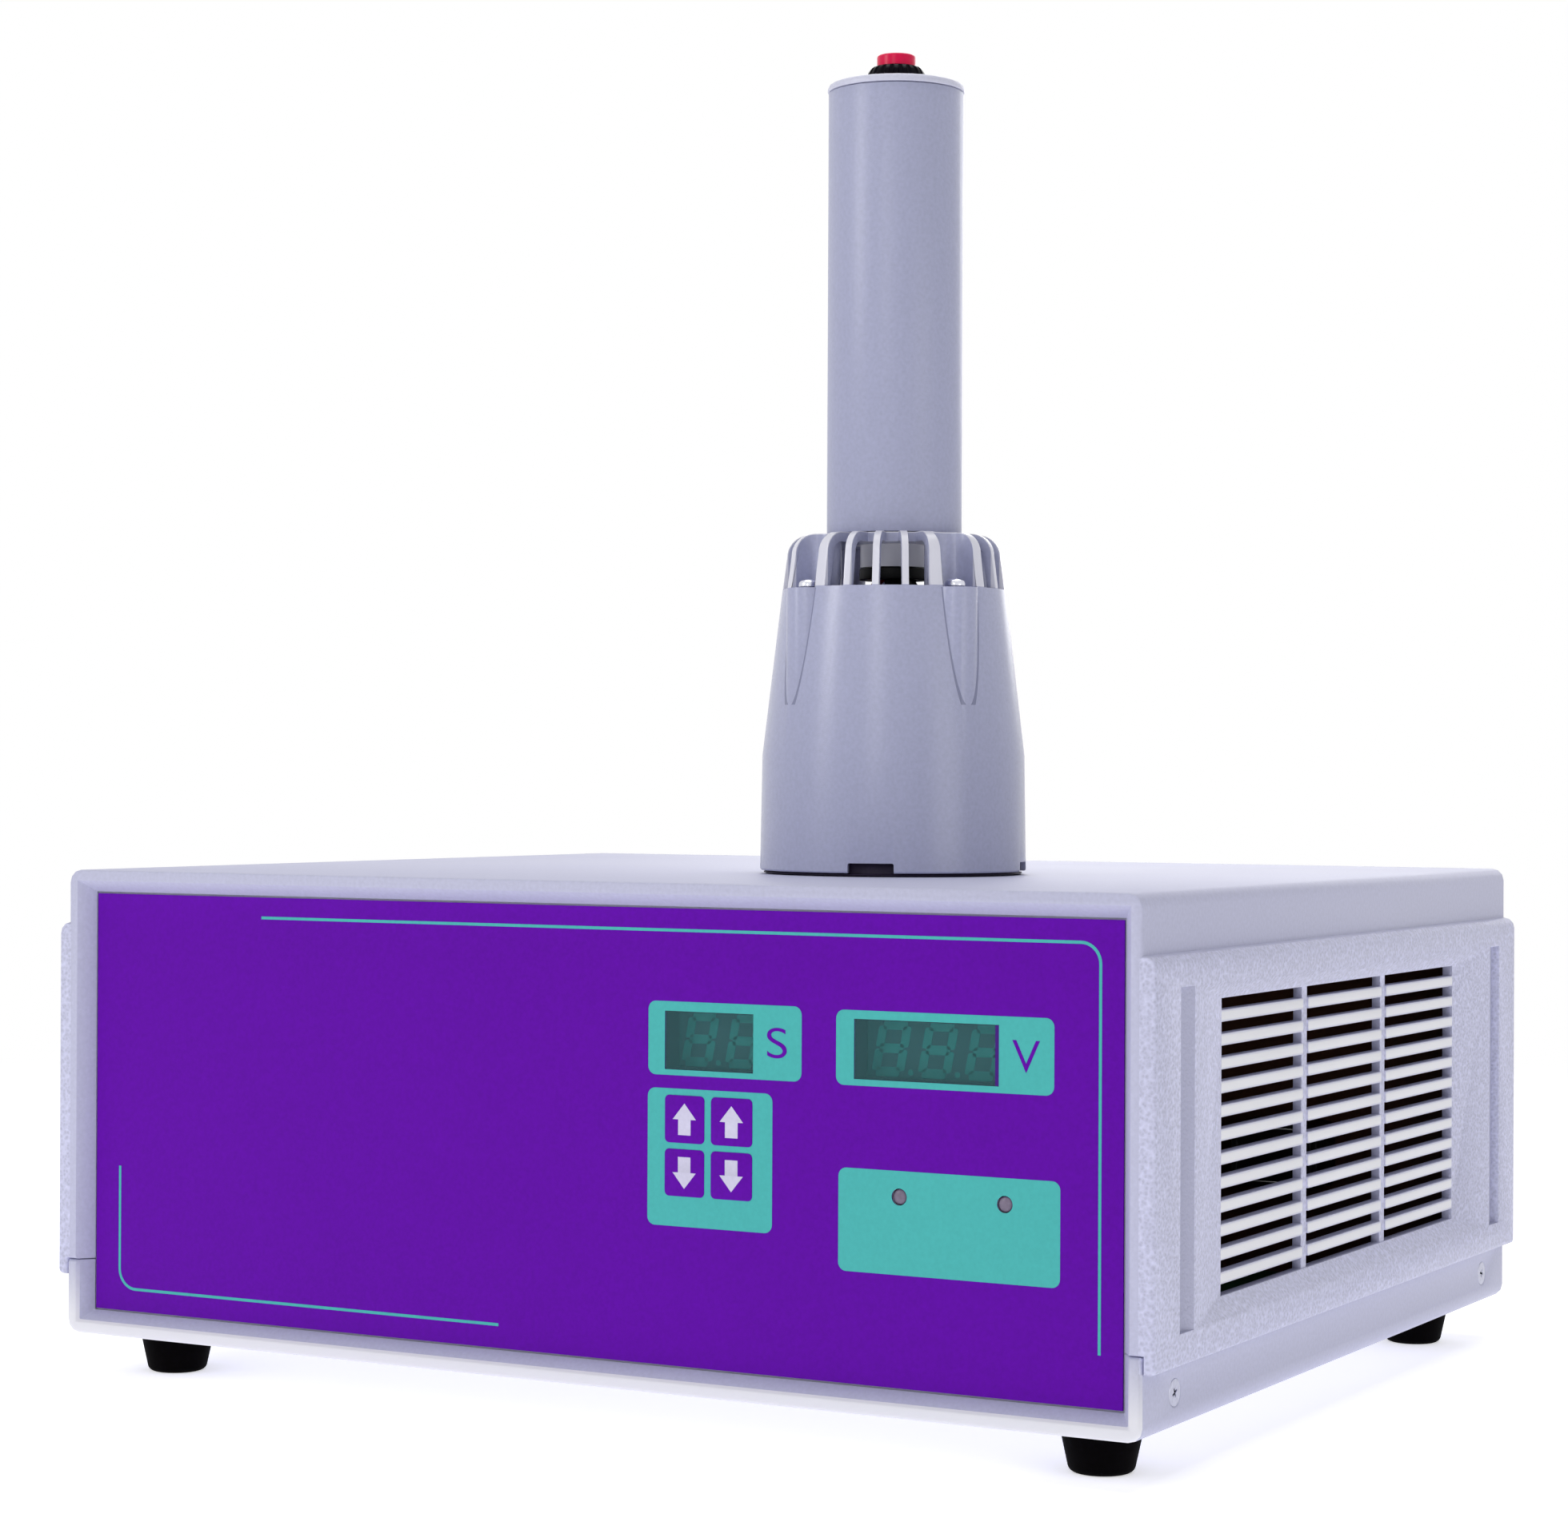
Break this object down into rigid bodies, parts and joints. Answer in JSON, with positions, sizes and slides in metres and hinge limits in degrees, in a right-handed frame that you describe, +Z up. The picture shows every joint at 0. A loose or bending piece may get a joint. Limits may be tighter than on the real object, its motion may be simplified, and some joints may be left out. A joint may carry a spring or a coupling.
{
  "type": "induction sealing machine",
  "caption": "Hand-held induction sealing head standing on its louvred power box with keypad, displays, fan and inlet.",
  "frame": {"origin": "under the middle of the power box, on the plane of its feet's soles", "axes": "+Z up, -Y out of the keypad panel, +X to the right of someone who faces the keypad"},
  "size_m": [0.3266, 0.27, 0.3634],
  "materials": {
    "shell_plastic": "moulded pale grey with a lilac cast, fine leather grain",
    "head_plastic": "moulded cool grey, fine matt grain",
    "panel_plastic": "flat grey sheet",
    "keypad_film": "printed polyester film, satin violet",
    "display_face": "smoked display window",
    "lamp_plastic": "clear lens, unlit",
    "circuit_board": "green solder mask",
    "black_plastic": "moulded black",
    "gloss_black": "polished black",
    "black_rubber": "matt black",
    "bright_steel": "zinc plated",
    "aluminium": "extruded",
    "ferrite": "sintered dark grey",
    "copper_winding": "enamelled copper wire",
    "coil_plate_resin": "dark brown moulded resin",
    "red_plastic": "glossy red",
    "red_lead": "red wire insulation"
  },
  "bodies": {
    "machine": {"bell_housing": "head_plastic", "bell_screw_1": "bright_steel", "bell_screw_2": "bright_steel", "bell_screw_3": "bright_steel", "bell_screw_4": "bright_steel", "black_lead": "black_plastic", "button_bezel": "gloss_black", "button_switch": "black_plastic", "case_screw_left_front": "bright_steel", "case_screw_left_rear": "bright_steel", "case_screw_right_front": "bright_steel", "case_screw_right_rear": "bright_steel", "coil_plate": "coil_plate_resin", "control_board": "circuit_board", "current_lamp": "lamp_plastic", "down_key_left_switch": "black_plastic", "down_key_right_switch": "black_plastic", "fan_frame": "black_plastic", "fan_guard": "bright_steel", "fan_screw_lower_left": "bright_steel", "fan_screw_lower_right": "bright_steel", "fan_screw_upper_left": "bright_steel", "fan_screw_upper_right": "bright_steel", "ferrite_core": "ferrite", "foot_left_front": "black_rubber", "foot_left_rear": "black_rubber", "foot_right_front": "black_rubber", "foot_right_rear": "black_rubber", "front_panel": "panel_plastic", "handle_cable_bush": "black_rubber", "handle_cap": "head_plastic", "handle_tube": "head_plastic", "heat_lamp": "lamp_plastic", "heat_sink": "aluminium", "induction_coil": "copper_winding", "inlet_contacts": "black_plastic", "keypad_film": "keypad_film", "lower_shell": "shell_plastic", "main_board": "circuit_board", "mains_inlet": "black_plastic", "neck_bush": "black_plastic", "neck_nut": "black_plastic", "power_switch": "black_plastic", "rear_cable_bush": "black_rubber", "rear_panel": "panel_plastic", "red_lead": "red_lead", "time_display": "display_face", "transformer_core": "ferrite", "transformer_winding": "copper_winding", "up_key_left_switch": "black_plastic", "up_key_right_switch": "black_plastic", "upper_shell": "shell_plastic", "volt_display": "display_face"},
    "fan_rotor": {"fan_rotor": "black_plastic"},
    "power_rocker": {"power_rocker": "black_plastic"},
    "seal_button": {"seal_button": "red_plastic"},
    "up_key_left": {"up_key_left": "black_plastic"},
    "down_key_left": {"down_key_left": "black_plastic"},
    "up_key_right": {"up_key_right": "black_plastic"},
    "down_key_right": {"down_key_right": "black_plastic"}
  },
  "joints": [
    {"name": "fan_spin", "type": "hinge", "parent": "machine", "child": "fan_rotor", "pos_m": [-0.07, 0.115, 0.0755], "axis": [0, 1, 0], "continuous": true},
    {"name": "power_rocker_tilt", "type": "hinge", "parent": "machine", "child": "power_rocker", "pos_m": [0.056, 0.1277, 0.052], "axis": [1, 0, 0], "range_deg": [0, 18]},
    {"name": "seal_button_press", "type": "slide", "parent": "machine", "child": "seal_button", "axis": [0, 0, -1], "range_m": [0, 0.0025], "stiffness_N_per_m": 400, "springref_m": -0.001},
    {"name": "up_key_left_press", "type": "slide", "parent": "machine", "child": "up_key_left", "axis": [0, 1, 0], "range_m": [0, 0.00025], "stiffness_N_per_m": 2000, "springref_m": -0.0001},
    {"name": "down_key_left_press", "type": "slide", "parent": "machine", "child": "down_key_left", "axis": [0, 1, 0], "range_m": [0, 0.00025], "stiffness_N_per_m": 2000, "springref_m": -0.0001},
    {"name": "up_key_right_press", "type": "slide", "parent": "machine", "child": "up_key_right", "axis": [0, 1, 0], "range_m": [0, 0.00025], "stiffness_N_per_m": 2000, "springref_m": -0.0001},
    {"name": "down_key_right_press", "type": "slide", "parent": "machine", "child": "down_key_right", "axis": [0, 1, 0], "range_m": [0, 0.00025], "stiffness_N_per_m": 2000, "springref_m": -0.0001}
  ]
}
